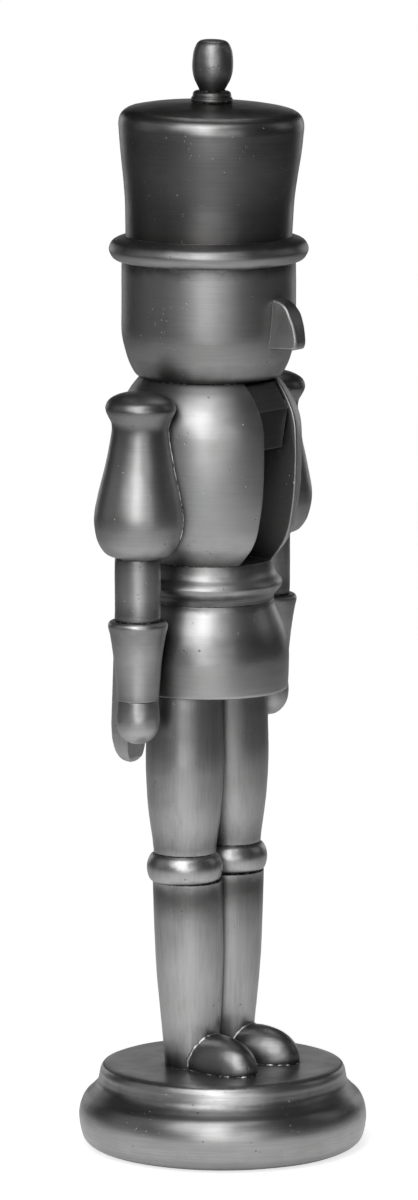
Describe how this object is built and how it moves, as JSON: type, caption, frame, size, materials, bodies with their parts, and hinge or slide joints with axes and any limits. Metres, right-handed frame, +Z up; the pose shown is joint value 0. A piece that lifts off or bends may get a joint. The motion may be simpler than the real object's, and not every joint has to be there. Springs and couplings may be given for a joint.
{
  "type": "nutcracker soldier figurine",
  "caption": "Standing soldier nutcracker on a round stepped base, with a tall flared hat, a wedge nose and a lever behind the coat that drops the jaw.",
  "frame": {"origin": "centre of the underside of the round base, on the surface that it stands on", "axes": "+Z up; the figure faces -Y, so its right arm is on the -X side and its left arm on the +X side"},
  "size_m": [0.0968, 0.0924, 0.356],
  "materials": {
    "pewter": "antique pewter lacquer over turned wood, satin, brushed round each turned piece",
    "felt": "short green felt",
    "dowel_wood": "plain beech dowel, glued, hidden",
    "pin_steel": "plain steel rod, ends hidden under the sleeves"
  },
  "bodies": {
    "figure": {"base": "pewter", "base_felt": "felt", "right_shoe": "pewter", "left_shoe": "pewter", "right_boot": "pewter", "left_boot": "pewter", "right_knee_band": "pewter", "left_knee_band": "pewter", "right_thigh": "pewter", "left_thigh": "pewter", "coat_skirt": "pewter", "sash": "pewter", "coat_body": "pewter", "right_sleeve": "pewter", "left_sleeve": "pewter", "right_forearm": "pewter", "left_forearm": "pewter", "right_cuff": "pewter", "left_cuff": "pewter", "right_hand": "pewter", "left_hand": "pewter", "pivot_pin": "pin_steel", "head": "pewter", "nose": "pewter", "brim": "pewter", "hat": "pewter", "finial_collar": "pewter", "finial": "pewter", "ankle_dowels": "dowel_wood", "knee_dowels": "dowel_wood", "hip_dowels": "dowel_wood", "shoulder_dowels": "dowel_wood", "arm_dowels": "dowel_wood", "neck_dowels": "dowel_wood", "hat_dowel": "dowel_wood"},
    "jaw": {"jaw_lever": "pewter", "beard": "pewter"}
  },
  "joints": [
    {"name": "jaw_hinge", "type": "hinge", "parent": "figure", "child": "jaw", "pos_m": [0, 0.0116, 0.228], "axis": [1, 0, 0], "range_deg": [0, 24]}
  ]
}
